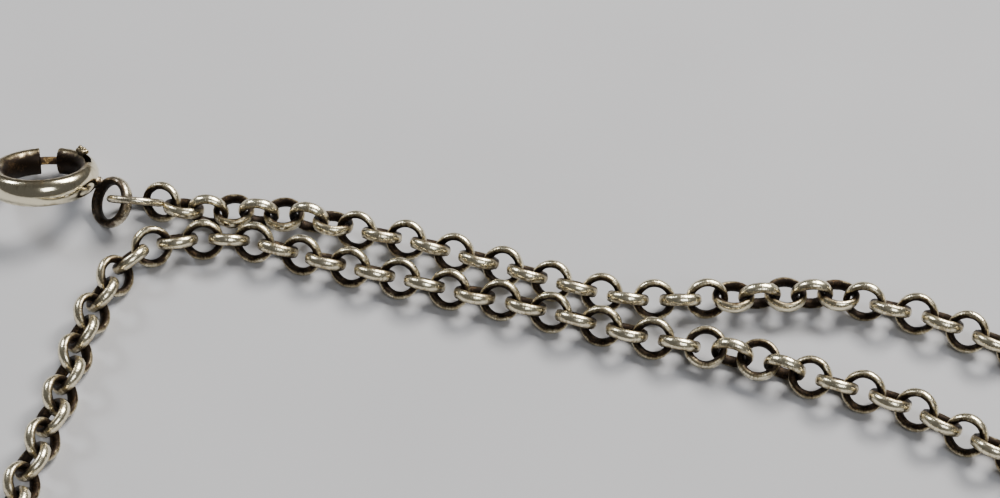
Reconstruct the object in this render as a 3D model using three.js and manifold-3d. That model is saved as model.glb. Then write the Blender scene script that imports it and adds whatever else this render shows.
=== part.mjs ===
// Round-link (belcher) chain necklace with a bolt ring clasp, laid out on a table.
// Millimetres, +Z up. The origin is the middle of the footprint, on the table.
//
// The chain is counted from the clasp. Links at both ends are separate rings, each one hinged on
// the next. Between them the chain is divided into runs of ten links, and each run is a plain
// eight-sided tube of the chain's outer size, flat underneath, along the run's route.

import * as THREE from 'three';
import { mergeVertices } from 'three/addons/utils/BufferGeometryUtils.js';
import Module from 'manifold-3d';

const wasm = await Module();
wasm.setup();

const DEG = Math.PI / 180;
const UP = new THREE.Vector3(0, 0, 1);

// ---- chain -------------------------------------------------------------------------------------
const LINK_COUNT = 266;
const LINK_PITCH = 1.66;
const LINK_RADIUS = 1.105; // centre line of the wire
const LINK_HALF_RADIAL = 0.255;
const LINK_HALF_AXIAL = 0.37;
const LINK_ROLL = 50; // each ring leans this far to one side, then the next to the other
const LEAN_NEAR = 6; // extra lean of both kinds of ring on the strand by the clasp
const LEAN_FAR = -6; // and on the strand that comes back
const LEAN_CHANGE = [60, 230]; // stretch of the chain in which the lean changes
const TABLE_GAP = 0.01;
const TWISTS = [[7, 2, 5, 45], [41.4, 1.5, 5.2, 45], [261.5, 0.5, 5.2, 40]]; // middle, half width, fade length, degrees
const HEAD_LINKS = 11; // separate rings at the clasp's end
const TAIL_LINKS = 4; // separate rings at the other end
const RUN_LINKS = 10;
const ROOT_RUN = 13; // this run has one link more
const ROD_APOTHEM = 1.12;
const SHIFT = [-28.45, 16.13]; // moves the route so that the footprint is centred

// ---- clasp -------------------------------------------------------------------------------------
const RING_CENTRE = [-29.95, 4.25, 2.36];
const RING_TILT = 25; // near side raised
const RING_RADIUS = 3.0;
const RING_HALF_RADIAL = 0.65;
const RING_HALF_AXIAL = 0.9;
const GAP_START = 79; // degrees round the ring, from +X towards the far side
const GAP_END = 104;
const BORE_RADIUS = 0.37;
const BORE_START = -32;
const SOCKET_END = 110;
const SLOT = [6, 45];
const SLOT_WIDTH = 0.4;
const BOLT_RADIUS = 0.27;
const BOLT = [30, 106.5];
const KNOB_ANGLE = 39;
const SPRING_RADIUS = 0.24;
const SPRING_WIRE = 0.06;
const SPRING = [29.2, -30.5];
const SPRING_TURNS = 10;
const EYE = { centre: [-25.382, 2.829, 1.441], axis: [-0.603, -0.427, 0.674], radius: 1.42 };
const EYE_HALF_RADIAL = 0.29;
const EYE_HALF_AXIAL = 0.42;
const JUMP = { centre: [-23.791, 2.807, 1.568], axis: [-0.087, -0.74, -0.667], radius: 1.643 };
const JUMP_WIRE = 0.25;
const END_RADIUS = 1.6;
const END_WIRE = 0.3;
const END_ROLL = 38;
const END_REACH = 2.12; // from the last link's centre to the end ring's centre

// Route of the chain on the table, from the clasp to the other end.
const ROUTE = [
  [-22.16, 3.05], [-20.5, 2.35], [-18.9, 2.1], [-17.4, 2.1], [-15.8, 2.0], [-14.1, 1.8],
  [-12.2, 1.5], [-9.4, 0.5], [-6.1, -0.3], [-2.9, -1.5], [-0.6, -2.3], [1.7, -3.2],
  [4.9, -4.4], [8.2, -5.3], [11.3, -5.4], [14.5, -5.3], [17.6, -5.1], [21.0, -5.1],
  [24.1, -6.0], [27.0, -6.9], [29.9, -8.5], [33.5, -10.2], [38.0, -10.5], [43.0, -7.0],
  [46.5, 1.5], [53.0, 13.5], [65.0, 20.5], [78.5, 17.5], [87.5, 6.0], [91.0, -9.0],
  [88.5, -25.0], [79.5, -38.5], [64.0, -44.5], [50.0, -39.0], [40.5, -28.5], [34.0, -20.6],
  [29.6, -17.2], [26.9, -15.5], [25.3, -14.3], [22.7, -13.0], [19.7, -11.9], [16.8, -10.7],
  [13.6, -9.6], [9.3, -8.5], [5.9, -7.4], [1.3, -5.8], [-2.0, -4.9], [-5.4, -3.9],
  [-8.8, -2.9], [-12.2, -1.8], [-15.6, -0.6], [-17.3, -0.3], [-19.0, -0.3], [-20.6, -0.4],
  [-22.4, -0.9], [-23.8, -2.2], [-24.7, -4.0], [-25.5, -6.4], [-26.0, -8.8], [-26.3, -11.2],
  [-26.7, -13.5], [-27.1, -15.8], [-27.6, -18.0], [-28.1, -20.4], [-28.5, -26.0],
  [-25.0, -32.5], [-17.0, -35.0], [-8.0, -32.5], [1.0, -29.0], [10.0, -29.5], [17.0, -34.0],
  [18.0, -41.0], [12.0, -46.5], [3.0, -47.0], [-6.0, -45.0], [-15.0, -46.5], [-24.0, -50.5],
  [-31.6, -52.1],
];

// ---- route and link frames ---------------------------------------------------------------------

// Points evenly spaced by arc length along the route's smooth curve.
function placeLinks() {
  const flat = ROUTE.map(([x, y]) => new THREE.Vector3(x + SHIFT[0], y + SHIFT[1], 0));
  const curve = new THREE.CatmullRomCurve3(flat, false, 'catmullrom', 0.5);
  const perSpan = 40;
  const samples = curve.getPoints(perSpan * (ROUTE.length - 1));
  const lengths = [0];
  for (let i = 1; i < samples.length; i += 1) {
    lengths.push(lengths[i - 1] + samples[i].distanceTo(samples[i - 1]));
  }
  const pointAt = (s) => {
    let i = 1;
    while (i < lengths.length - 1 && lengths[i] < s) {
      i += 1;
    }
    const t = (s - lengths[i - 1]) / (lengths[i] - lengths[i - 1]);
    return samples[i - 1].clone().lerp(samples[i], t);
  };
  const centres = [];
  for (let i = 0; i < LINK_COUNT; i += 1) {
    centres.push(pointAt(i * LINK_PITCH));
  }
  return centres;
}

function smooth(t) {
  const u = Math.min(1, Math.max(0, t));
  return u * u * (3 - 2 * u);
}

// Lean of a ring in degrees: alternating, plus the slow twist of the chain.
function rollAt(index) {
  const s = index * LINK_PITCH;
  const change = (s - LEAN_CHANGE[0]) / (LEAN_CHANGE[1] - LEAN_CHANGE[0]);
  let twist = LEAN_NEAR + (LEAN_FAR - LEAN_NEAR) * smooth(change);
  for (const [middle, half, fade, angle] of TWISTS) {
    twist += angle * smooth(1 - (Math.abs(s - middle) - half) / fade);
  }
  const side = index % 2 === 0 ? LINK_ROLL : -LINK_ROLL;
  return side + twist;
}

// Half of a leaning ring's height.
function reach(roll) {
  const s = Math.abs(Math.sin(roll * DEG));
  const c = Math.cos(roll * DEG);
  return LINK_RADIUS * s + Math.hypot(LINK_HALF_RADIAL * s, LINK_HALF_AXIAL * c);
}

function linkFrames() {
  const centres = placeLinks();
  return centres.map((centre, i) => {
    const before = centres[Math.max(0, i - 1)];
    const after = centres[Math.min(LINK_COUNT - 1, i + 1)];
    const along = after.clone().sub(before).normalize();
    const roll = rollAt(i);
    const other = roll + (i % 2 === 0 ? -2 : 2) * LINK_ROLL;
    const height = TABLE_GAP + Math.max(reach(roll), reach(other));
    const aside = UP.clone().cross(along);
    const across = aside.multiplyScalar(Math.cos(roll * DEG));
    across.addScaledVector(UP, Math.sin(roll * DEG));
    const point = new THREE.Vector3(centre.x, centre.y, height);
    return { point, along, across, axis: along.clone().cross(across) };
  });
}

// ---- solids ------------------------------------------------------------------------------------

function finish(colour, roughness) {
  return new THREE.MeshStandardMaterial({ color: colour, roughness, metalness: 1 });
}

const OXIDISED_SILVER = () => finish(0xb9b1a0, 0.35);
const BRIGHT_SILVER = () => finish(0xc9c6bc, 0.25);
const DARK_SILVER = () => finish(0x5b5248, 0.4);
const BRONZE = () => finish(0x9a7440, 0.4);

function addMesh(group, name, geometry, material) {
  const mesh = new THREE.Mesh(geometry, material);
  mesh.name = name;
  group.add(mesh);
  return mesh;
}

// A closed ring about its own Y axis, with an oval section.
function ringGeometry(radius, halfRadial, halfAxial, around, sides) {
  const profile = [];
  for (let i = 0; i <= sides; i += 1) {
    const a = (i % sides) * 2 * Math.PI / sides;
    profile.push(new THREE.Vector2(radius + halfRadial * Math.cos(a), halfAxial * Math.sin(a)));
  }
  return new THREE.LatheGeometry(profile, around);
}

// Turns a mesh's Y axis to the given axis and its X axis as near as can be to a direction.
function orient(mesh, centre, axis, along) {
  const y = axis.clone().normalize();
  const x = along.clone().addScaledVector(y, -along.dot(y)).normalize();
  const z = x.clone().cross(y);
  mesh.quaternion.setFromRotationMatrix(new THREE.Matrix4().makeBasis(x, y, z));
  mesh.position.copy(centre);
}

function ovalShape(halfX, halfY, sides, turn = 0) {
  const points = [];
  for (let i = 0; i < sides; i += 1) {
    const a = (i + turn) * 2 * Math.PI / sides;
    points.push(new THREE.Vector2(halfX * Math.cos(a), halfY * Math.sin(a)));
  }
  return new THREE.Shape(points);
}

// A section carried round the clasp's circle: section x is radial, section -y is axial.
function bentGeometry(shape, from, to, steps) {
  const geometry = new THREE.ExtrudeGeometry(shape, { depth: 1, steps, bevelEnabled: false });
  const place = geometry.getAttribute('position');
  for (let i = 0; i < place.count; i += 1) {
    const angle = (from + (to - from) * place.getZ(i)) * DEG;
    const r = RING_RADIUS + place.getX(i);
    place.setXYZ(i, r * Math.cos(angle), r * Math.sin(angle), -place.getY(i));
  }
  return geometry;
}

function toSolid(geometry) {
  const bare = geometry.clone();
  bare.deleteAttribute('normal');
  bare.deleteAttribute('uv');
  const merged = mergeVertices(bare, 1e-5);
  const mesh = new wasm.Mesh({
    numProp: 3,
    vertProperties: new Float32Array(merged.getAttribute('position').array),
    triVerts: new Uint32Array(merged.getIndex().array),
  });
  return new wasm.Manifold(mesh);
}

function toGeometry(solid) {
  const mesh = solid.getMesh();
  const geometry = new THREE.BufferGeometry();
  geometry.setAttribute('position', new THREE.BufferAttribute(mesh.vertProperties, 3));
  geometry.setIndex(new THREE.BufferAttribute(mesh.triVerts, 1));
  return geometry;
}

function tubeGeometry() {
  const body = toSolid(
    bentGeometry(ovalShape(RING_HALF_RADIAL, RING_HALF_AXIAL, 14), GAP_END, GAP_START + 360, 44));
  const boreShape = ovalShape(BORE_RADIUS, BORE_RADIUS, 10);
  const bore = toSolid(bentGeometry(boreShape, BORE_START + 360, GAP_START + 362, 14));
  const socket = toSolid(bentGeometry(boreShape, GAP_END - 2, SOCKET_END, 3));
  const half = SLOT_WIDTH / 2;
  const slotShape = new THREE.Shape([
    new THREE.Vector2(-half, -1.2),
    new THREE.Vector2(half, -1.2),
    new THREE.Vector2(half, 0),
    new THREE.Vector2(-half, 0),
  ]);
  const slot = toSolid(bentGeometry(slotShape, SLOT[0] + 360, SLOT[1] + 360, 5));
  return toGeometry(body.subtract(bore).subtract(socket).subtract(slot));
}

// The coil spring lies along the bore.
class BentHelix extends THREE.Curve {
  getPoint(t, target = new THREE.Vector3()) {
    const angle = (SPRING[0] + (SPRING[1] - SPRING[0]) * t) * DEG;
    const turn = t * SPRING_TURNS * 2 * Math.PI;
    const r = RING_RADIUS + SPRING_RADIUS * Math.cos(turn);
    return target.set(r * Math.cos(angle), r * Math.sin(angle), SPRING_RADIUS * Math.sin(turn));
  }
}

// Stem and ribbed head of the thumb knob, in the clasp's frame.
function knobGeometry() {
  const stemFoot = BOLT_RADIUS + 0.03;
  const headFoot = RING_HALF_AXIAL + 0.04;
  const stem = new THREE.BoxGeometry(0.3, 0.34, headFoot - stemFoot + 0.1);
  stem.translate(0, 0, (headFoot + 0.1 + stemFoot) / 2);
  const head = new THREE.CapsuleGeometry(0.3, 0.36, 3, 8);
  head.scale(1, 1, 0.55);
  head.translate(0, 0, headFoot + 0.165);
  let solid = toSolid(stem).add(toSolid(head));
  for (const y of [-0.2, 0.2]) {
    const bump = new THREE.SphereGeometry(0.15, 8, 6);
    bump.translate(0, y, headFoot + 0.34);
    solid = solid.add(toSolid(bump));
  }
  const geometry = toGeometry(solid);
  geometry.translate(RING_RADIUS, 0, 0);
  geometry.rotateZ(KNOB_ANGLE * DEG);
  return geometry;
}

// ---- assembly ----------------------------------------------------------------------------------

const part = new THREE.Group();
const frames = linkFrames();

function shifted([x, y, z]) {
  return new THREE.Vector3(x + SHIFT[0], y + SHIFT[1], z);
}

function addClasp() {
  const clasp = new THREE.Group();
  clasp.position.copy(shifted(RING_CENTRE));
  clasp.rotation.x = -RING_TILT * DEG;
  part.add(clasp);
  addMesh(clasp, 'clasp_tube', tubeGeometry(), BRIGHT_SILVER());
  const boltShape = ovalShape(BOLT_RADIUS, BOLT_RADIUS, 8);
  addMesh(clasp, 'clasp_bolt', bentGeometry(boltShape, BOLT[0], BOLT[1], 14), BRONZE());
  addMesh(clasp, 'clasp_thumb_knob', knobGeometry(), BRIGHT_SILVER());
  const coil = new THREE.ExtrudeGeometry(ovalShape(SPRING_WIRE, SPRING_WIRE, 5), {
    extrudePath: new BentHelix(),
    steps: SPRING_TURNS * 10,
    bevelEnabled: false,
  });
  addMesh(clasp, 'clasp_spring', coil, DARK_SILVER());
  const ahead = new THREE.Vector3(1, 0, 0);
  const eyeShape = ringGeometry(EYE.radius, EYE_HALF_RADIAL, EYE_HALF_AXIAL, 20, 8);
  const eye = addMesh(part, 'clasp_eye', eyeShape, DARK_SILVER());
  orient(eye, shifted(EYE.centre), new THREE.Vector3(...EYE.axis), ahead);
  const jumpShape = ringGeometry(JUMP.radius, JUMP_WIRE, JUMP_WIRE, 24, 8);
  const jump = addMesh(part, 'jump_ring', jumpShape, DARK_SILVER());
  orient(jump, shifted(JUMP.centre), new THREE.Vector3(...JUMP.axis), ahead);
}

function addLink(number) {
  const frame = frames[number - 1];
  const shape = ringGeometry(LINK_RADIUS, LINK_HALF_RADIAL, LINK_HALF_AXIAL, 16, 6);
  const name = `link_${String(number).padStart(3, '0')}`;
  const mesh = addMesh(part, name, shape, OXIDISED_SILVER());
  orient(mesh, frame.point, frame.axis, frame.along);
}

// The outer shape of a run of links: a tube from its first link's centre to its last one's.
function addRun(run, first, last) {
  const spine = [];
  for (let i = first; i <= last; i += 1) {
    const { point } = frames[i - 1];
    spine.push(new THREE.Vector3(point.x, point.y, ROD_APOTHEM + TABLE_GAP));
  }
  const outer = ROD_APOTHEM / Math.cos(Math.PI / 8);
  const geometry = new THREE.ExtrudeGeometry(ovalShape(outer, outer, 8, 0.5), {
    extrudePath: new THREE.CatmullRomCurve3(spine),
    steps: 10,
    bevelEnabled: false,
  });
  addMesh(part, `chain_run_${String(run).padStart(2, '0')}`, geometry, OXIDISED_SILVER());
}

function addEndRing() {
  const last = frames[LINK_COUNT - 1];
  const roll = END_ROLL * DEG;
  const aside = UP.clone().cross(last.along);
  const across = aside.multiplyScalar(Math.cos(roll)).addScaledVector(UP, Math.sin(roll));
  const centre = last.point.clone().addScaledVector(last.along, END_REACH);
  centre.z = TABLE_GAP + END_WIRE + END_RADIUS * Math.sin(roll);
  const shape = ringGeometry(END_RADIUS, END_WIRE, END_WIRE, 24, 8);
  const ring = addMesh(part, 'end_ring', shape, BRIGHT_SILVER());
  orient(ring, centre, last.along.clone().cross(across), last.along);
}

addClasp();
for (let number = 1; number <= HEAD_LINKS; number += 1) {
  addLink(number);
}
let next = HEAD_LINKS + 1;
let run = 1;
while (next <= LINK_COUNT - TAIL_LINKS) {
  const count = run === ROOT_RUN ? RUN_LINKS + 1 : RUN_LINKS;
  addRun(run, next, next + count - 1);
  next += count;
  run += 1;
}
for (let number = LINK_COUNT - TAIL_LINKS + 1; number <= LINK_COUNT; number += 1) {
  addLink(number);
}
addEndRing();

export default part;
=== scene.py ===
"""Round-link silver necklace chain with a bolt ring clasp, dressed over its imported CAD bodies."""
import logging
import math
import random
from dataclasses import dataclass, field
from enum import Enum
from typing import Any, Callable, Optional

import bpy
from mathutils import Matrix, Vector


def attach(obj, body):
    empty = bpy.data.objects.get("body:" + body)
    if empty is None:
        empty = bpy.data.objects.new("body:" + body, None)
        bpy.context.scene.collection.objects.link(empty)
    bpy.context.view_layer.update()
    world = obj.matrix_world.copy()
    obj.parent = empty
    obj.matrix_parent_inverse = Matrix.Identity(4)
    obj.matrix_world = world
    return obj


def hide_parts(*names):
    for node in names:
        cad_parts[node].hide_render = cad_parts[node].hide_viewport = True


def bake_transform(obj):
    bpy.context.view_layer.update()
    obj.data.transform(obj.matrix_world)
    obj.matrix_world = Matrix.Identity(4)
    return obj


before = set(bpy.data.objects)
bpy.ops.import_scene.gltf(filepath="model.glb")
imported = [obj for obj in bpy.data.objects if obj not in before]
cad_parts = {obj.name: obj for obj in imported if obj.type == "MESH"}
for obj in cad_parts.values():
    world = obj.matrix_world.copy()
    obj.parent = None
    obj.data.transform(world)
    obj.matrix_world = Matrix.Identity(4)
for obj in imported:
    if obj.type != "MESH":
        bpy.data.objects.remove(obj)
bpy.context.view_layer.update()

LOG = logging.getLogger("necklace")
MM = 0.001
UP = Vector((0.0, 0.0, 1.0))
SHIFT = Vector((-28.45, 16.13, 0.0))
Colour = tuple[float, float, float]
Span = tuple[float, float]

FULL_TURN = 360.0
TINY = 1e-3  # millimetres
WELD = 1e-4  # points closer than this are one, in millimetres
GRAIN = 9000.0  # cells of the finest marks, per metre
BUMP_DEPTH = 0.00002  # metres
CURVE_STEPS = 40  # points between two points of the route
SEAT_DEPTH = 0.05  # how far a neighbour has worn into a link, in millimetres
SEAM_SWELL = 0.010  # height of a link's soldered seam, in millimetres
SEAM_WIDTH = 0.16  # radians
SEED = 7

END_RING_RADIUS = 1.6
END_RING_WIRE = 0.3
END_RING_ROLL = 38.0
END_RING_REACH = 2.12  # from the last link's centre to the end ring's


class Slot(str, Enum):
    """The record's material slots."""

    BRIGHT = "bright_silver"
    AGED = "aged_silver"
    DARK = "dark_silver"
    BRONZE = "bronze"


class Detail(Enum):
    """How finely a ring is made: steps round it and sides of its wire."""

    CLOSE = (32, 10)
    FAR = (16, 6)
    FITTING = (72, 20)


# ---- shader maths --------------------------------------------------------------------------------


class Socket:
    """A number coming out of a shader node, which takes part in ordinary arithmetic."""

    def __init__(self, graph: "Graph", link: bpy.types.NodeSocket) -> None:
        """Wraps a node's output socket."""
        self.graph = graph
        self.link = link

    def _math(self, operation: str, *values: Any) -> "Socket":
        """Adds one Math node.

        Args:
            operation: the Math node's operation.
            values: its inputs, numbers or sockets.

        Returns:
            The result as a socket.
        """
        node = self.graph.add("ShaderNodeMath", {"operation": operation}, dict(enumerate(values)))
        return Socket(self.graph, node.outputs[0])

    def __add__(self, other: Any) -> "Socket":
        """Sum."""
        return self._math("ADD", self, other)

    def __radd__(self, other: Any) -> "Socket":
        """Sum, reflected."""
        return self._math("ADD", other, self)

    def __sub__(self, other: Any) -> "Socket":
        """Difference."""
        return self._math("SUBTRACT", self, other)

    def __rsub__(self, other: Any) -> "Socket":
        """Difference, reflected."""
        return self._math("SUBTRACT", other, self)

    def __mul__(self, other: Any) -> "Socket":
        """Product."""
        return self._math("MULTIPLY", self, other)

    def __rmul__(self, other: Any) -> "Socket":
        """Product, reflected."""
        return self._math("MULTIPLY", other, self)

    def clamp(self) -> "Socket":
        """Limits the number to 0..1."""
        return self._math("MINIMUM", self._math("MAXIMUM", self, 0.0), 1.0)

    def step(self, low: float, high: float) -> "Socket":
        """Smooth step from 0 at low to 1 at high.

        Args:
            low: value that gives 0.
            high: value that gives 1.

        Returns:
            The stepped number.
        """
        t = ((self - low) * (1.0 / (high - low))).clamp()
        return t * t * (3.0 - 2.0 * t)


class Graph:
    """The node tree of one material."""

    def __init__(self, name: str) -> None:
        """Starts a material with a Principled shader."""
        self.material = bpy.data.materials.new(name)
        self.material.use_nodes = True
        self.tree = self.material.node_tree
        self.shader = self.tree.nodes["Principled BSDF"]

    def add(self, kind: str, settings: Optional[dict] = None,
            sockets: Optional[dict] = None) -> bpy.types.Node:
        """Adds a node, sets it, then fills its sockets.

        Args:
            kind: the node's type.
            settings: its properties.
            sockets: values or links by the input's name or number.

        Returns:
            The node.
        """
        node = self.tree.nodes.new(kind)
        for key, value in (settings or {}).items():
            setattr(node, key, value)
        for key, value in (sockets or {}).items():
            self.fill(node.inputs[key], value)
        return node

    def fill(self, place: bpy.types.NodeSocket, value: Any) -> None:
        """Links or sets one input socket.

        Args:
            place: the input.
            value: a Socket, a node's output, a colour or a number.
        """
        if isinstance(value, Socket):
            self.tree.links.new(value.link, place)
        elif isinstance(value, bpy.types.NodeSocket):
            self.tree.links.new(value, place)
        elif isinstance(value, tuple) and len(value) == 3 and place.type == "RGBA":
            place.default_value = (*value, 1.0)
        else:
            place.default_value = value

    def attribute(self, name: str) -> Socket:
        """A number stored on the mesh."""
        node = self.add("ShaderNodeAttribute", {"attribute_name": name})
        return Socket(self, node.outputs["Fac"])

    def noise(self, scale: float, detail: float = 3.0, roughness: float = 0.55) -> Socket:
        """Noise fixed to the object.

        Args:
            scale: cells per metre.
            detail: octaves.
            roughness: weight of the small octaves.

        Returns:
            The noise, about 0.5 on average.
        """
        place = self.add("ShaderNodeTexCoord").outputs["Object"]
        sockets = {"Vector": place, "Scale": scale, "Detail": detail, "Roughness": roughness}
        return Socket(self, self.add("ShaderNodeTexNoise", None, sockets).outputs["Fac"])

    def drawn_lines(self, around: float, across: float) -> Socket:
        """Noise stretched along the piece's own UV map, for tool and drawing marks.

        Args:
            around: cells round the ring.
            across: cells round the wire.

        Returns:
            The noise.
        """
        uv = self.add("ShaderNodeUVMap", {"uv_map": "wire"}).outputs["UV"]
        place = self.add("ShaderNodeMapping", None, {"Vector": uv, "Scale": (around, across, 1.0)})
        sockets = {"Vector": place.outputs[0], "Scale": 1.0, "Detail": 2.0, "Roughness": 0.5}
        return Socket(self, self.add("ShaderNodeTexNoise", None, sockets).outputs["Fac"])

    def mix(self, factor: Socket, first: Any, second: Any) -> bpy.types.NodeSocket:
        """Mixes two colours.

        Args:
            factor: 0 for the first, 1 for the second.
            first: colour or link.
            second: colour or link.

        Returns:
            The colour's output.
        """
        settings = {"data_type": "RGBA", "blend_type": "MIX"}
        node = self.add("ShaderNodeMix", settings, {0: factor, 6: first, 7: second})
        return node.outputs[2]

    def finish(self, colour: Any, roughness: Any, metallic: Any,
               normal: Any = None) -> bpy.types.Material:
        """Fills the shader.

        Args:
            colour: base colour.
            roughness: roughness.
            metallic: metallic.
            normal: a Bump node's output.

        Returns:
            The material.
        """
        self.fill(self.shader.inputs["Base Color"], colour)
        self.fill(self.shader.inputs["Roughness"], roughness)
        self.fill(self.shader.inputs["Metallic"], metallic)
        if normal is not None:
            self.fill(self.shader.inputs["Normal"], normal)
        return self.material

    def bump(self, height: Socket, depth: float, strength: float) -> bpy.types.NodeSocket:
        """A bump from a height.

        Args:
            height: 0..1.
            depth: depth of a height of 1, in metres.
            strength: how strong it shows.

        Returns:
            The normal's output.
        """
        sockets = {"Height": height, "Distance": depth, "Strength": strength}
        return self.add("ShaderNodeBump", None, sockets).outputs["Normal"]


# ---- finishes ------------------------------------------------------------------------------------


@dataclass(frozen=True)
class OxidisedSilver:
    """Worn silver, bright where it rubs and brown-black where it doesn't: partly tarnish, partly
    painted shade on the inner faces, inside bores and where links meet.
    """

    name: str
    bright: Colour = (0.91, 0.83, 0.61)
    dull: Colour = (0.34, 0.275, 0.165)
    oxide: Colour = (0.014, 0.008, 0.004)
    rubbed: Colour = (0.085, 0.05, 0.022)  # thin brown oxide
    inner_tarnish_and_shade: float = 1.1  # oxide and painted shade on the side of the wire that faces the ring's middle
    touch: float = 0.8  # painted shade where a neighbour sits, fed into the oxide mask
    blotch: float = 0.95  # how much the oxide's edge wanders
    start: float = 0.43
    polish: float = 0.23
    marks: float = 0.8  # depth of the lines across the wire
    lines: float = 75.0
    dents: float = 0.4  # depth of the wide shallow dents

    def build(self) -> bpy.types.Material:
        """Makes the material."""
        g = Graph(self.name)
        # painted shade where neighbouring links sit
        inward = g.attribute("inward")
        touch = g.attribute("touch")
        patches = g.noise(1100.0, 4.0, 0.6)
        fine = g.noise(GRAIN, 3.0, 0.6)
        lines = g.drawn_lines(self.lines, 2.5)
        # tarnish plus painted shade: oxide on the inner faces and inside bores, partly painted
        # shade of those recesses, and painted shade where links meet
        level = inward * self.inner_tarnish_and_shade + touch * self.touch + (patches - 0.5) * self.blotch
        level = level + (lines - 0.5) * 0.25 + (fine - 0.5) * 0.2
        oxide = level.step(self.start, self.start + 0.25)
        # the dull metal follows the same mix of tarnish and painted shade
        dull = (level + (lines - 0.5) * 0.5).step(self.start - 0.36, self.start + 0.08)
        metal = g.mix(dull, self.bright, self.dull)
        crust = g.mix((fine * 0.6 + patches * 0.6).step(0.62, 0.80), self.oxide, self.rubbed)
        colour = g.mix(oxide, metal, crust)
        roughness = self.polish + dull * 0.12 + oxide * 0.2 + (fine - 0.5) * 0.1
        height = lines + fine * 0.3 - oxide * 0.3 + patches * self.dents
        normal = g.bump(height, BUMP_DEPTH, self.marks)
        return g.finish(colour, roughness.clamp(), 1.0 - oxide * 0.2, normal)


@dataclass(frozen=True)
class SpringBronze:
    """Golden brown spring metal with oxide in its scratches."""

    name: str = "spring_bronze"
    bright: Colour = (0.66, 0.43, 0.18)
    oxide: Colour = (0.045, 0.024, 0.010)

    def build(self) -> bpy.types.Material:
        """Makes the material."""
        g = Graph(self.name)
        patches = g.noise(1600.0, 4.0, 0.6)
        fine = g.noise(GRAIN)
        oxide = (patches + (fine - 0.5) * 0.5).step(0.36, 0.58)
        colour = g.mix(oxide, self.bright, self.oxide)
        normal = g.bump(fine, BUMP_DEPTH, 0.4)
        return g.finish(colour, (0.24 + oxide * 0.3).clamp(), 1.0 - oxide * 0.4, normal)


@dataclass(frozen=True)
class PaleTable:
    """Plain pale surface under the necklace."""

    name: str = "pale_table"
    colour: Colour = (0.42, 0.42, 0.435)

    def build(self) -> bpy.types.Material:
        """Makes the material."""
        g = Graph(self.name)
        shade = g.noise(35.0, 2.0)
        colour = g.mix(shade.step(0.3, 0.7), self.colour, tuple(0.95 * c for c in self.colour))
        return g.finish(colour, 0.9, 0.0)


# ---- mesh helpers --------------------------------------------------------------------------------


def select(*pieces: bpy.types.Object) -> None:
    """Selects only these pieces and makes the first one active."""
    bpy.ops.object.select_all(action="DESELECT")
    for piece in pieces:
        piece.select_set(True)
    bpy.context.view_layer.objects.active = pieces[0]


def join(*pieces: bpy.types.Object) -> bpy.types.Object:
    """Joins pieces into the first one, which it returns."""
    select(*pieces)
    bpy.ops.object.join()
    return pieces[0]


def fresh(add: Callable[..., Any], **options: Any) -> bpy.types.Object:
    """Adds a primitive with nothing else selected.

    Args:
        add: the operator.
        options: its options.

    Returns:
        The new object, the only one selected.
    """
    bpy.ops.object.select_all(action="DESELECT")
    add(**options)
    piece = bpy.context.object
    bpy.ops.object.transform_apply(location=True, rotation=True, scale=True)
    return piece


def edit(piece: bpy.types.Object) -> None:
    """Opens a piece in edit mode with everything selected."""
    select(piece)
    bpy.ops.object.mode_set(mode="EDIT")
    bpy.ops.mesh.select_all(action="SELECT")


def done() -> None:
    """Leaves edit mode with the normals pointing out."""
    bpy.ops.mesh.select_all(action="SELECT")
    bpy.ops.mesh.normals_make_consistent(inside=False)
    bpy.ops.object.mode_set(mode="OBJECT")


def apply_modifier(piece: bpy.types.Object, kind: str, **settings: Any) -> None:
    """Adds a modifier and applies it.

    Args:
        piece: the piece.
        kind: the modifier's type.
        settings: its properties.
    """
    select(piece)
    modifier = piece.modifiers.new(kind.lower(), kind)
    for key, value in settings.items():
        setattr(modifier, key, value)
    bpy.ops.object.modifier_apply(modifier=modifier.name)


def cut(piece: bpy.types.Object, tool: bpy.types.Object) -> None:
    """Cuts a piece with a tool solid, which is then removed.

    Args:
        piece: the piece.
        tool: the solid to take away.
    """
    apply_modifier(piece, "BOOLEAN", operation="DIFFERENCE", solver="EXACT", object=tool)
    bpy.data.objects.remove(tool)


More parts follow.
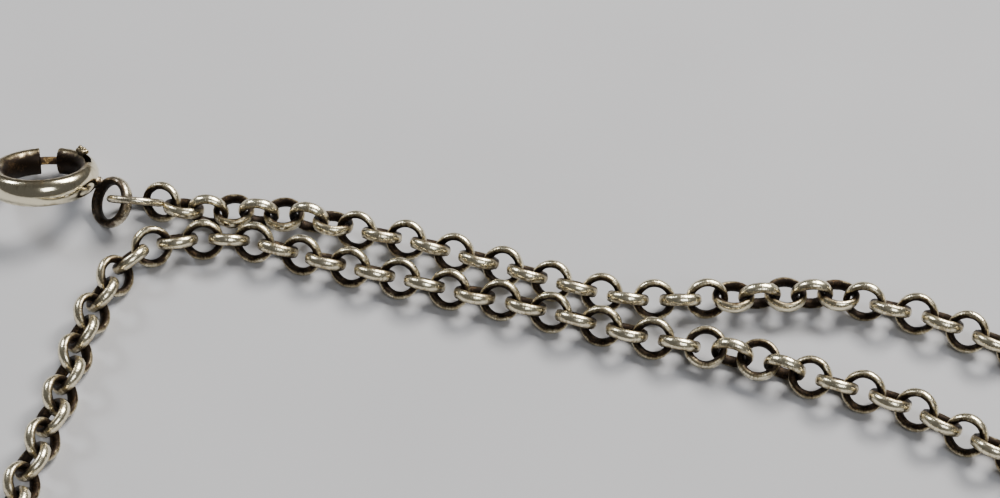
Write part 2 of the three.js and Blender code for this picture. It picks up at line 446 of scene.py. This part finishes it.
@dataclass
class Sweep:
    """An oval wire carried round a circle about Z, in millimetres."""

    radius: float
    half_radial: float
    half_axial: float
    steps: int
    sides: int
    start: float = 0.0
    end: float = FULL_TURN

    def build(self, name: str) -> bpy.types.Object:
        """Spins the wire's section round.

        Args:
            name: the piece's name.

        Returns:
            The closed mesh.
        """
        turn = (math.pi / 2, 0.0, 0.0)
        add = bpy.ops.mesh.primitive_circle_add
        piece = fresh(add, vertices=self.sides, radius=1.0, fill_type="NOTHING", rotation=turn)
        piece.name = name
        edit(piece)
        bpy.ops.transform.resize(value=(self.half_radial, 1.0, self.half_axial))
        bpy.ops.mesh.select_all(action="SELECT")
        bpy.ops.transform.translate(value=(self.radius, 0.0, 0.0))
        span = math.radians(self.end - self.start)
        bpy.ops.mesh.spin(steps=self.steps, angle=-span, center=(0, 0, 0), axis=(0, 0, 1))
        bpy.ops.mesh.select_all(action="SELECT")
        bpy.ops.mesh.remove_doubles(threshold=WELD)
        if abs(self.end - self.start - FULL_TURN) > TINY:
            bpy.ops.mesh.select_all(action="DESELECT")
            bpy.ops.mesh.select_non_manifold()
            bpy.ops.mesh.edge_face_add()
        done()
        piece.data.transform(Matrix.Rotation(math.radians(self.start), 4, "Z"))
        return piece

    def soften_ends(self, piece: bpy.types.Object, width: float, segments: int = 3) -> None:
        """Rounds the rims of the two cut ends.

        Args:
            piece: the swept piece.
            width: how far the rounding reaches.
            segments: steps of the rounding.
        """
        edit(piece)
        bpy.ops.mesh.select_all(action="DESELECT")
        bpy.ops.mesh.select_mode(type="FACE")
        bpy.ops.object.mode_set(mode="OBJECT")
        for face in piece.data.polygons:
            face.select = len(face.vertices) > 6
        bpy.ops.object.mode_set(mode="EDIT")
        bpy.ops.mesh.region_to_loop()
        bpy.ops.mesh.bevel(offset=width, segments=segments, profile=0.6)
        done()


def stamp(mesh: bpy.types.Mesh, radius: float, touching: bool, deep: float = 0.0,
          seed: int = 0) -> None:
    """Stores on a ring about Z where each point lies on its wire.

    Args:
        mesh: the ring, in millimetres.
        radius: centre line of its wire.
        touching: True if neighbours sit at its two ends along X.
        deep: distance from the wire's centre inside which a point counts as inside a bore.
        seed: moves the marks along the wire.
    """
    inward = mesh.attributes.new("inward", "FLOAT", "POINT")
    touch = mesh.attributes.new("touch", "FLOAT", "POINT")
    for i, vertex in enumerate(mesh.vertices):
        x, y, z = vertex.co
        out = math.hypot(x, y) - radius
        away = math.hypot(out, z) or 1.0
        value = 0.5 - 0.5 * out / away
        # a point inside a bore counts as fully inward, which the shaders darken as tarnish and
        # painted shade
        if away < deep:
            value = 1.0
        inward.data[i].value = value
        # painted shade at the two ends along X, where neighbouring links sit
        near = abs(x) / max(math.hypot(x, y), 1e-6)
        touch.data[i].value = near ** 6 * (0.35 + 0.65 * value) if touching else 0.0
    layer = mesh.uv_layers.new(name="wire")
    offset = (seed * 0.377) % 1.0
    for face in mesh.polygons:
        fx, fy, fz = face.center
        base = math.atan2(fy, fx)
        side = math.atan2(fz, math.hypot(fx, fy) - radius)
        for loop in face.loop_indices:
            x, y, z = mesh.vertices[mesh.loops[loop].vertex_index].co
            u = base + (math.atan2(y, x) - base + math.pi) % (2 * math.pi) - math.pi
            v = math.atan2(z, math.hypot(x, y) - radius)
            v = side + (v - side + math.pi) % (2 * math.pi) - math.pi
            layer.data[loop].uv = (u / (2 * math.pi) + offset, v / (2 * math.pi))


def place(mesh: bpy.types.Mesh, matrix: Matrix) -> None:
    """Moves a mesh in millimetres to its place in metres, with smooth faces."""
    mesh.transform(matrix @ Matrix.Scale(MM, 4))
    mesh.shade_smooth()


def axes_at(centre: Vector, along: Vector, across: Vector) -> Matrix:
    """The place of a ring with two directions in its plane.

    Args:
        centre: its centre in metres.
        along: its X direction.
        across: its Y direction.

    Returns:
        The matrix.
    """
    columns = (along, across, along.cross(across))
    turn = Matrix([[c[i] for c in columns] for i in range(3)])
    return Matrix.Translation(centre) @ turn.to_4x4()


def axes_about(centre: Vector, axis: Vector) -> Matrix:
    """The place of a ring given its axis, with its X direction near the row's X."""
    z = axis.normalized()
    x = (Vector((1, 0, 0)) - z * z.x).normalized()
    return axes_at(centre, x, z.cross(x))


def dress(piece: bpy.types.Object, body: str, slot: Slot, material: bpy.types.Material, *nodes: str,
          stretch: Optional[tuple[str, Vector, Vector]] = None) -> None:
    """Gives a piece its material, body and the CAD nodes that it stands for.

    Args:
        piece: the piece.
        body: the body it rides on.
        slot: the record's slot; not used.
        material: its material.
        nodes: the CAD nodes it replaces.
        stretch: for a spring, the body its other end should follow and where its two ends are; when
            given, the piece is only baked in place and not attached, and these values are not used.
    """
    piece.data.materials.clear()
    piece.data.materials.append(material)
    for face in piece.data.polygons:
        face.material_index = 0
    if stretch is None:
        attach(piece, body)
    else:
        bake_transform(piece)
    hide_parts(*nodes)
    LOG.info("%s on %s: %d faces", piece.name, body, len(piece.data.polygons))


# ---- chain ---------------------------------------------------------------------------------------

ROUTE = (
    (-22.16, 3.05), (-20.5, 2.35), (-18.9, 2.1), (-17.4, 2.1), (-15.8, 2.0), (-14.1, 1.8),
    (-12.2, 1.5), (-9.4, 0.5), (-6.1, -0.3), (-2.9, -1.5), (-0.6, -2.3), (1.7, -3.2),
    (4.9, -4.4), (8.2, -5.3), (11.3, -5.4), (14.5, -5.3), (17.6, -5.1), (21.0, -5.1),
    (24.1, -6.0), (27.0, -6.9), (29.9, -8.5), (33.5, -10.2), (38.0, -10.5), (43.0, -7.0),
    (46.5, 1.5), (53.0, 13.5), (65.0, 20.5), (78.5, 17.5), (87.5, 6.0), (91.0, -9.0),
    (88.5, -25.0), (79.5, -38.5), (64.0, -44.5), (50.0, -39.0), (40.5, -28.5), (34.0, -20.6),
    (29.6, -17.2), (26.9, -15.5), (25.3, -14.3), (22.7, -13.0), (19.7, -11.9), (16.8, -10.7),
    (13.6, -9.6), (9.3, -8.5), (5.9, -7.4), (1.3, -5.8), (-2.0, -4.9), (-5.4, -3.9),
    (-8.8, -2.9), (-12.2, -1.8), (-15.6, -0.6), (-17.3, -0.3), (-19.0, -0.3), (-20.6, -0.4),
    (-22.4, -0.9), (-23.8, -2.2), (-24.7, -4.0), (-25.5, -6.4), (-26.0, -8.8), (-26.3, -11.2),
    (-26.7, -13.5), (-27.1, -15.8), (-27.6, -18.0), (-28.1, -20.4), (-28.5, -26.0),
    (-25.0, -32.5), (-17.0, -35.0), (-8.0, -32.5), (1.0, -29.0), (10.0, -29.5), (17.0, -34.0),
    (18.0, -41.0), (12.0, -46.5), (3.0, -47.0), (-6.0, -45.0), (-15.0, -46.5), (-24.0, -50.5),
    (-31.6, -52.1),
)


@dataclass
class LinkPlace:
    """Where one link lies: centre in millimetres and its two in-plane directions."""

    centre: Vector
    along: Vector
    across: Vector

    def matrix(self) -> Matrix:
        """The link's place in metres."""
        return axes_at(self.centre * MM, self.along, self.across)


@dataclass
class ChainLayout:
    """The laid-out route and the lean of every link."""

    count: int = 266
    pitch: float = 1.66
    radius: float = 1.105
    half_radial: float = 0.255
    half_axial: float = 0.37
    roll: float = 50.0
    lean_near: float = 6.0
    lean_far: float = -6.0
    lean_change: Span = (60.0, 230.0)  # along the chain, in millimetres
    twists: tuple[tuple[float, float, float, float], ...] = (
        (7, 2, 5, 45), (41.4, 1.5, 5.2, 45), (261.5, 0.5, 5.2, 40))
    table_gap: float = 0.01

    def samples(self) -> list[Vector]:
        """Dense points of the smooth curve through the route."""
        points = [Vector((x, y, 0.0)) + SHIFT for x, y in ROUTE]
        points = [2 * points[0] - points[1], *points, 2 * points[-1] - points[-2]]
        dense = []
        for i in range(1, len(points) - 2):
            p0, p1, p2, p3 = points[i - 1:i + 3]
            v1, v2 = (p2 - p0) / 2, (p3 - p1) / 2
            for k in range(CURVE_STEPS):
                t = k / CURVE_STEPS
                cubic = (2 * p1 - 2 * p2 + v1 + v2) * t ** 3
                dense.append(cubic + (3 * p2 - 3 * p1 - 2 * v1 - v2) * t ** 2 + v1 * t + p1)
        dense.append(points[-2])
        return dense

    def centres(self) -> list[Vector]:
        """Link centres, evenly spaced along the curve."""
        dense = self.samples()
        lengths = [0.0]
        for a, b in zip(dense, dense[1:]):
            lengths.append(lengths[-1] + (b - a).length)
        found, k = [], 1
        for i in range(self.count):
            s = i * self.pitch
            while k < len(lengths) - 1 and lengths[k] < s:
                k += 1
            t = (s - lengths[k - 1]) / (lengths[k] - lengths[k - 1])
            found.append(dense[k - 1].lerp(dense[k], t))
        return found

    @staticmethod
    def smooth(t: float) -> float:
        """Smooth step of a number limited to 0..1."""
        u = min(1.0, max(0.0, t))
        return u * u * (3 - 2 * u)

    def lean(self, index: int) -> float:
        """Lean of a ring in degrees."""
        s = index * self.pitch
        first, last = self.lean_change
        change = self.smooth((s - first) / (last - first))
        twist = self.lean_near + (self.lean_far - self.lean_near) * change
        for middle, half, fade, angle in self.twists:
            twist += angle * self.smooth(1 - (abs(s - middle) - half) / fade)
        return (self.roll if index % 2 == 0 else -self.roll) + twist

    def reach(self, roll: float) -> float:
        """Half the height of a ring that leans by roll degrees."""
        s, c = math.sin(math.radians(roll)), math.cos(math.radians(roll))
        return self.radius * abs(s) + math.hypot(self.half_radial * s, self.half_axial * c)

    def places(self) -> list[LinkPlace]:
        """The place of every link, from the clasp to the end ring."""
        centres = self.centres()
        found = []
        for i, centre in enumerate(centres):
            before, after = centres[max(0, i - 1)], centres[min(self.count - 1, i + 1)]
            along = (after - before).normalized()
            roll = self.lean(i)
            other = roll + (-2 if i % 2 == 0 else 2) * self.roll
            height = self.table_gap + max(self.reach(roll), self.reach(other))
            tilt = math.radians(roll)
            across = UP.cross(along) * math.cos(tilt) + UP * math.sin(tilt)
            found.append(LinkPlace(Vector((centre.x, centre.y, height)), along, across))
        return found


@dataclass
class Chain:
    """All the links: separate ones at both ends and runs of interlocked ones between."""

    layout: ChainLayout
    material: bpy.types.Material
    head: int = 11
    tail: int = 4
    run_links: int = 10
    root_run: int = 13
    near: tuple[int, int] = (1, 46)
    back: tuple[int, int] = (142, 214)
    loose: float = 5.0  # how far a ring inside a run may lean either way, in degrees
    places: list[LinkPlace] = field(default_factory=list)
    masters: dict = field(default_factory=dict)

    def master(self, detail: Detail, kind: int) -> bpy.types.Mesh:
        """The mesh that links of one kind are copied from, in millimetres.

        Args:
            detail: how finely it is made.
            kind: which of a few slightly different rings it is.

        Returns:
            The mesh.
        """
        key = (detail, kind)
        if key not in self.masters:
            steps, sides = detail.value
            lay = self.layout
            ring = Sweep(lay.radius, lay.half_radial, lay.half_axial, steps, sides)
            piece = ring.build(f"link_master_{detail.name}_{kind}")
            self.shape(piece, kind)
            mesh = piece.data
            stamp(mesh, lay.radius, True, seed=kind)
            mesh.use_fake_user = True
            self.masters[key] = mesh
            bpy.data.objects.remove(piece)
        return self.masters[key]

    def shape(self, piece: bpy.types.Object, kind: int) -> None:
        """Gives a ring its soldered seam and worn seats.

        Args:
            piece: the ring.
            kind: sets where the seam lies.
        """
        lay = self.layout
        seam = math.radians(55 + 70 * kind)
        for vertex in piece.data.vertices:
            x, y, z = vertex.co
            angle = math.atan2(y, x)
            out = math.hypot(x, y)
            inner = max(0.0, (lay.radius - out) / lay.half_radial)
            seat = (abs(x) / out) ** 10 * inner * SEAT_DEPTH
            gap = abs((angle - seam + math.pi) % (2 * math.pi) - math.pi)
            swell = SEAM_SWELL * math.exp(-(gap / SEAM_WIDTH) ** 2)
            wobble = 0.006 * math.sin(3 * angle + kind) + 0.004 * math.sin(7 * angle + 2 * kind)
            grow = 1 + (swell + wobble) / lay.half_radial
            radial = (out - lay.radius) * grow + lay.radius + seat
            vertex.co = (x * radial / out, y * radial / out, z * grow)

    def link(self, number: int) -> bpy.types.Object:
        """One link in its place.

        Args:
            number: its number from the clasp.

        Returns:
            The link's object.
        """
        seen = self.near[0] <= number <= self.near[1] or self.back[0] <= number <= self.back[1]
        end = number > self.layout.count - self.tail
        mesh = self.master(Detail.CLOSE if seen or end else Detail.FAR, number * 7 % 5).copy()
        turn = Matrix.Identity(4)
        if self.head < number <= self.layout.count - self.tail:
            turn = Matrix.Rotation(math.radians(random.uniform(-self.loose, self.loose)), 4, "X")
        place(mesh, self.places[number - 1].matrix() @ turn)
        piece = bpy.data.objects.new(f"silver_link_{number:03d}", mesh)
        bpy.context.scene.collection.objects.link(piece)
        return piece

    def run(self, number: int, first: int, last: int) -> bpy.types.Object:
        """Joins the links of one run into one piece.

        Args:
            number: the run's number.
            first: its first link.
            last: its last link.

        Returns:
            The run's object.
        """
        links = [self.link(i) for i in range(first, last + 1)]
        piece = join(*links)
        piece.name = f"silver_run_{number:02d}"
        return piece

    def build(self) -> None:
        """Makes every link and every run."""
        self.places = self.layout.places()
        singles = [*range(1, self.head + 1)]
        singles += range(self.layout.count - self.tail + 1, self.layout.count + 1)
        for number in singles:
            body = f"link_{number:03d}"
            dress(self.link(number), body, Slot.AGED, self.material, body)
        following, number = self.head + 1, 1
        while following <= self.layout.count - self.tail:
            count = self.run_links + (1 if number == self.root_run else 0)
            body = f"chain_run_{number:02d}"
            piece = self.run(number, following, following + count - 1)
            dress(piece, body, Slot.AGED, self.material, body)
            following += count
            number += 1


# ---- clasp and rings -----------------------------------------------------------------------------


@dataclass
class PlainRing:
    """A closed ring about a given axis: the eye, the jump ring or the end ring."""

    name: str
    body: str
    node: str
    centre: Vector
    axis: Vector
    radius: float
    half_radial: float
    half_axial: float
    slot: Slot
    seam: Optional[float] = None  # degrees, where the ring is cut through and closed
    joint: Optional[Vector] = None  # where it is soldered to its neighbour
    cut_angle: float = 1.1  # half of the seam's opening, in degrees
    cut_round: float = 0.035

    def solder(self, piece: bpy.types.Object, place_of: Matrix) -> None:
        """Adds the solder that holds the ring, as part of its mesh.

        Args:
            piece: the ring, in its own axes.
            place_of: the ring's place in metres.
        """
        local = (place_of.inverted() @ ((self.joint + SHIFT) * MM)) / MM
        add = bpy.ops.mesh.primitive_uv_sphere_add
        blob = fresh(add, segments=24, ring_count=14, radius=1.0)
        for vertex in blob.data.vertices:
            x, y, z = vertex.co
            pinch = 1 - 0.25 * (1 - x * x) * (1 + 0.3 * math.sin(5 * math.atan2(y, z)))
            vertex.co = (0.40 * x, 0.52 * y * pinch, 0.44 * z * pinch)
        outward = Vector((local.x, local.y, 0.0)).normalized()
        turn = outward.to_track_quat("X", "Z").to_matrix().to_4x4()
        blob.data.transform(Matrix.Translation(local) @ turn)
        join(piece, blob)

    def build(self, material: bpy.types.Material) -> bpy.types.Object:
        """Makes the ring.

        Args:
            material: its material.

        Returns:
            The ring's object.
        """
        steps, sides = Detail.FITTING.value
        gap = self.cut_angle if self.seam is not None else 0.0
        start = (self.seam or 0.0) + gap
        end = (self.seam or 0.0) + FULL_TURN - gap
        sweep = Sweep(self.radius, self.half_radial, self.half_axial, steps, sides, start, end)
        piece = sweep.build(self.name)
        if self.seam is not None:
            sweep.soften_ends(piece, self.cut_round)
        where = axes_about((self.centre + SHIFT) * MM, self.axis)
        if self.joint is not None:
            self.solder(piece, where)
        stamp(piece.data, self.radius, False, seed=len(self.name))
        place(piece.data, where)
        dress(piece, self.body, self.slot, material, self.node)
        return piece


@dataclass
class BoltRing:
    """The bolt ring: hollow tube, sprung bolt, thumb knob and spring."""

    centre: Vector = Vector((-29.95, 4.25, 2.36))
    tilt: float = 25.0
    radius: float = 3.0
    half_radial: float = 0.65
    half_axial: float = 0.9
    gap: Span = (79.0, 104.0)
    bore: float = 0.37
    bore_start: float = -32.0
    socket_end: float = 110.0
    slot: Span = (6.0, 45.0)
    slot_width: float = 0.4
    slot_top: float = 1.3
    overshoot: float = 3.0  # how far a cutting tool passes a face, in degrees
    bolt_radius: float = 0.27
    bolt: Span = (30.0, 106.5)
    knob_angle: float = 39.0
    knob_head: tuple[float, float, float] = (0.58, 0.94, 0.32)
    knob_stem: Span = (0.3, 0.34)
    knob_bump: float = 0.17
    bump_place: float = 0.22
    spring_radius: float = 0.24
    spring_wire: float = 0.06
    spring: Span = (29.2, -30.5)
    spring_turns: int = 10
    turn_steps: int = 16

    def matrix(self) -> Matrix:
        """The clasp's place in metres."""
        turn = Matrix.Rotation(math.radians(-self.tilt), 4, "X")
        return Matrix.Translation((self.centre + SHIFT) * MM) @ turn

    def settle(self, piece: bpy.types.Object, deep: float = 0.0) -> None:
        """Stores the wire's marks on a piece and moves it to its place."""
        stamp(piece.data, self.radius, False, deep)
        place(piece.data, self.matrix())

    def tube(self, material: bpy.types.Material) -> None:
        """Makes the hollow tube with its bore, socket and thumb slot."""
        first, last = self.gap
        end = first + FULL_TURN
        body = Sweep(self.radius, self.half_radial, self.half_axial, 110, 32, last, end)
        piece = body.build("bolt_ring_tube")
        body.soften_ends(piece, 0.07)
        holes = (("bore_tool", 48, self.bore_start, first + self.overshoot),
                 ("socket_tool", 6, last - self.overshoot, self.socket_end))
        for name, steps, near, far in holes:
            cut(piece, Sweep(self.radius, self.bore, self.bore, steps, 18, near, far).build(name))
        cut(piece, self.slot_tool())
        # the bore's inside is darkened as tarnish and painted shade
        self.settle(piece, 0.5)
        dress(piece, "clasp_ring", Slot.BRIGHT, material, "clasp_tube")
        select(piece)
        bpy.ops.object.shade_smooth_by_angle(angle=math.radians(40))

    def slot_tool(self) -> bpy.types.Object:
        """The solid that cuts the thumb slot through the tube's upper wall.

        Its section starts as a diamond, whose corners move to those of an upright oblong.

        Returns:
            The tool.
        """
        half = self.slot_width / 2
        bar = Sweep(self.radius, half * math.sqrt(2), 1.0, 16, 4, *self.slot)
        piece = bar.build("slot_tool")
        for vertex in piece.data.vertices:
            x, y, z = vertex.co
            out = math.hypot(x, y)
            offset = out - self.radius
            top = abs(offset) <= TINY and z > 0
            near = self.radius + (half if top or offset > TINY else -half)
            height = self.slot_top if top or offset < -TINY else 0.0
            vertex.co = (x * near / out, y * near / out, height)
        return piece

    def bolt_wire(self, material: bpy.types.Material) -> None:
        """Makes the curved bolt with a rounded nose."""
        start, end = self.bolt
        sweep = Sweep(self.radius, self.bolt_radius, self.bolt_radius, 40, 18, start, end)
        piece = sweep.build("bolt_wire")
        sweep.soften_ends(piece, 0.13, 4)
        self.settle(piece)
        dress(piece, "clasp_bolt_slide", Slot.BRONZE, material, "clasp_bolt")

    def knob(self, material: bpy.types.Material) -> None:
        """Makes the thumb knob: a stem through the slot and a ribbed head."""
        foot = self.half_axial + 0.04
        stem_foot = self.bolt_radius + 0.03
        tall = foot + 0.1 - stem_foot
        stem = fresh(bpy.ops.mesh.primitive_cube_add, size=1.0, scale=(*self.knob_stem, tall),
                     location=(0.0, 0.0, stem_foot + tall / 2))
        apply_modifier(stem, "BEVEL", width=0.05, segments=3)
        head = fresh(bpy.ops.mesh.primitive_cube_add, size=1.0, scale=self.knob_head,
                     location=(0.0, 0.0, foot + self.knob_head[2] / 2))
        apply_modifier(head, "BEVEL", width=0.13, segments=4)
        lumps = [head]
        for across in (-self.bump_place, self.bump_place):
            bump = fresh(bpy.ops.mesh.primitive_uv_sphere_add, segments=24, ring_count=12,
                         radius=self.knob_bump, location=(0.0, across, foot + 0.33))
            lumps.append(bump)
        join(*lumps)
        apply_modifier(head, "REMESH", mode="VOXEL", voxel_size=0.035, use_smooth_shade=True)
        apply_modifier(head, "SMOOTH", factor=0.5, iterations=4)
        join(head, stem)
        head.name = "thumb_knob"
        angle = math.radians(self.knob_angle)
        move = Matrix.Rotation(angle, 4, "Z") @ Matrix.Translation((self.radius, 0, 0))
        head.data.transform(move)
        self.settle(head)
        dress(head, "clasp_bolt_slide", Slot.BRIGHT, material, "clasp_thumb_knob")

    def coil(self, material: bpy.types.Material) -> None:
        """Makes the coil spring that lies along the bore behind the bolt."""
        curve = bpy.data.curves.new("clasp_coil", "CURVE")
        curve.dimensions = "3D"
        curve.bevel_depth = self.spring_wire
        curve.bevel_resolution = 2
        curve.use_fill_caps = True
        spline = curve.splines.new("POLY")
        steps = self.spring_turns * self.turn_steps
        spline.points.add(steps)
        first, last = self.spring
        for i, point in enumerate(spline.points):
            t = i / steps
            angle = math.radians(first + (last - first) * t)
            turn = t * self.spring_turns * 2 * math.pi
            r = self.radius + self.spring_radius * math.cos(turn)
            height = self.spring_radius * math.sin(turn)
            point.co = (r * math.cos(angle), r * math.sin(angle), height, 1.0)
        piece = bpy.data.objects.new("bolt_spring", curve)
        bpy.context.scene.collection.objects.link(piece)
        select(piece)
        bpy.ops.object.convert(target="MESH")
        piece = bpy.context.object
        edit(piece)
        bpy.ops.mesh.remove_doubles(threshold=WELD)
        done()
        self.settle(piece)
        ends = []
        for angle in (math.radians(last), math.radians(first)):
            spot = Vector((math.cos(angle), math.sin(angle), 0.0)) * self.radius * MM
            ends.append(self.matrix() @ spot)
        dress(piece, "clasp_ring", Slot.DARK, material, "clasp_spring",
              stretch=("clasp_bolt_slide", ends[0], ends[1]))

    def build(self, bright: bpy.types.Material, dark: bpy.types.Material,
              bronze: bpy.types.Material) -> None:
        """Makes the whole clasp.

        Args:
            bright: worn silver.
            dark: oxidised metal.
            bronze: spring metal.
        """
        self.tube(bright)
        self.bolt_wire(bronze)
        self.knob(bright)
        self.coil(dark)


# ---- surroundings --------------------------------------------------------------------------------


@dataclass
class Studio:
    """Camera, soft lights and the table."""

    elevation: float = 48.0
    distance: float = 0.140
    width: float = 0.065
    sensor: float = 36.0
    sky: Colour = (0.84, 0.83, 0.82)
    sky_strength: float = 0.12

    def camera(self) -> None:
        """Places the camera above the near side of the clasp's end."""
        data = bpy.data.cameras.new("camera")
        data.lens = self.sensor * self.distance / self.width
        data.sensor_width = self.sensor
        data.clip_start = 0.001
        data.clip_end = 20.0
        rig = bpy.data.objects.new("camera", data)
        tilt = math.radians(self.elevation)
        back = Vector((0.0, -math.cos(tilt), math.sin(tilt))) * self.distance
        rig.location = SHIFT * MM + back
        rig.rotation_euler = (math.pi / 2 - tilt, 0.0, 0.0)
        bpy.context.scene.collection.objects.link(rig)
        bpy.context.scene.camera = rig

    def light(self, name: str, where: Vector, size: Span, power: float, colour: Colour) -> None:
        """Adds a soft light that faces the clasp's end of the necklace.

        Args:
            name: its name.
            where: its place from the middle of the view, in metres.
            size: its sides in metres.
            power: its power in watts.
            colour: its colour.
        """
        data = bpy.data.lights.new(name, "AREA")
        data.shape = "RECTANGLE"
        data.size, data.size_y = size
        data.energy = power
        data.color = colour
        lamp = bpy.data.objects.new(name, data)
        lamp.location = SHIFT * MM + where
        lamp.rotation_euler = (-where).to_track_quat("-Z", "Y").to_euler()
        bpy.context.scene.collection.objects.link(lamp)

    def build(self) -> None:
        """Makes the table, the world, the lights and the camera."""
        self.camera()
        table = fresh(bpy.ops.mesh.primitive_plane_add, size=6.0)
        table.name = "table"
        table.data.materials.append(PaleTable().build())
        world = bpy.data.worlds.new("studio")
        world.use_nodes = True
        sky = world.node_tree.nodes["Background"]
        sky.inputs[0].default_value = (*self.sky, 1.0)
        sky.inputs[1].default_value = self.sky_strength
        bpy.context.scene.world = world
        warm, cool = (1.0, 0.97, 0.92), (0.93, 0.96, 1.0)
        self.light("back_softbox", Vector((0.30, 0.30, 0.50)), (0.34, 0.24), 8.5, warm)
        self.light("side_softbox", Vector((-0.42, 0.28, 0.45)), (0.16, 0.16), 2.0, cool)
        self.light("front_fill", Vector((0.25, -0.5, 0.6)), (0.3, 0.3), 2.0, cool)


def end_ring_place(layout: ChainLayout, places: list[LinkPlace]) -> tuple[Vector, Vector]:
    """Centre (without the shift) and axis of the end ring, beyond the last link.

    Args:
        layout: the chain's sizes.
        places: the links' places.

    Returns:
        The centre in millimetres and the axis.
    """
    last = places[-1]
    roll = math.radians(END_RING_ROLL)
    across = UP.cross(last.along) * math.cos(roll) + UP * math.sin(roll)
    centre = last.centre + last.along * END_RING_REACH
    centre.z = layout.table_gap + END_RING_WIRE + END_RING_RADIUS * math.sin(roll)
    return centre - SHIFT, last.along.cross(across)


def main() -> None:
    """Builds the surroundings, the chain and the fittings."""
    logging.basicConfig(level=logging.INFO, format="%(name)s: %(message)s")
    random.seed(SEED)
    Studio().build()
    chain_silver = OxidisedSilver("chain_silver").build()
    bright = OxidisedSilver("clasp_silver", inner_tarnish_and_shade=1.0, touch=0.0, blotch=0.6, start=0.50,
                            polish=0.13, marks=0.16, lines=60.0, dents=4.0).build()
    dark = OxidisedSilver("dark_silver", bright=(0.74, 0.66, 0.50), dull=(0.15, 0.115, 0.08),
                          oxide=(0.012, 0.008, 0.005), blotch=1.1, start=0.30, polish=0.24,
                          marks=0.5, dents=1.0).build()
    worn = OxidisedSilver("jump_ring_silver", bright=(0.80, 0.72, 0.54), dull=(0.25, 0.20, 0.135),
                          blotch=1.2, start=0.34, polish=0.24, dents=1.0).build()
    bronze = SpringBronze().build()
    chain = Chain(ChainLayout(), chain_silver)
    chain.build()
    BoltRing().build(bright, dark, bronze)
    PlainRing("eye_ring", "clasp_ring", "clasp_eye", Vector((-25.382, 2.829, 1.441)),
              Vector((-0.603, -0.427, 0.674)), 1.42, 0.29, 0.42, Slot.DARK,
              joint=Vector((-26.36, 4.16, 1.86))).build(dark)
    PlainRing("thin_jump_ring", "jump_ring", "jump_ring", Vector((-23.791, 2.807, 1.568)),
              Vector((-0.087, -0.74, -0.667)), 1.643, 0.25, 0.25, Slot.DARK, seam=247.5).build(worn)
    centre, axis = end_ring_place(chain.layout, chain.places)
    PlainRing("plain_end_ring", "end_ring", "end_ring", centre, axis, END_RING_RADIUS,
              END_RING_WIRE, END_RING_WIRE, Slot.BRIGHT).build(bright)


if __name__ == "__main__":
    main()
